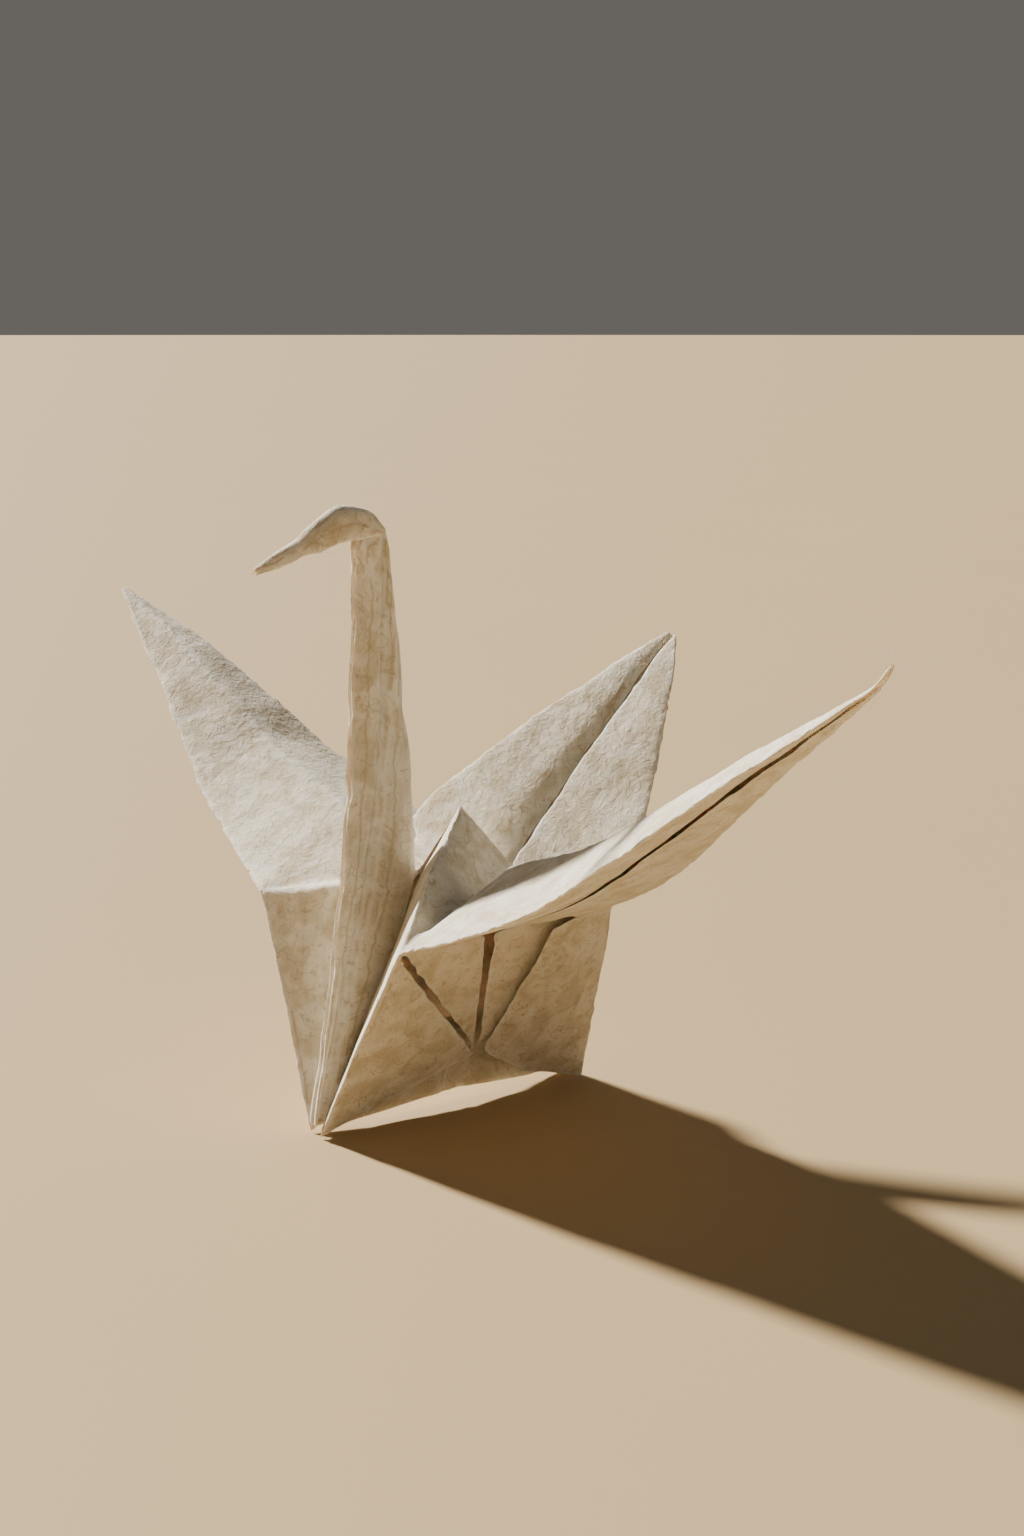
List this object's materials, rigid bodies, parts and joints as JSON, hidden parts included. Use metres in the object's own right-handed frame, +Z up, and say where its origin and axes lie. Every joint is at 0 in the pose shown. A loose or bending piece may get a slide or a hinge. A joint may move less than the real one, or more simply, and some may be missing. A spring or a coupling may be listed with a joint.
{
  "type": "folded paper crane",
  "caption": "Folded paper crane with raised curved wings, slim upright neck, bent head and broad tail, standing on the points under its body.",
  "frame": {"origin": "on the surface the crane stands on, midway between its front and rear feet, in the plane of its neck and tail", "axes": "+Z up, the head looks along -Y and the tail points to +Y, the wings spread along X"},
  "size_m": [0.1925, 0.0749, 0.0921],
  "materials": {
    "handmade_paper": "matt off-white handmade paper with visible fibres"
  },
  "bodies": {
    "root": {"folded_sheet": "handmade_paper"}
  },
  "joints": []
}
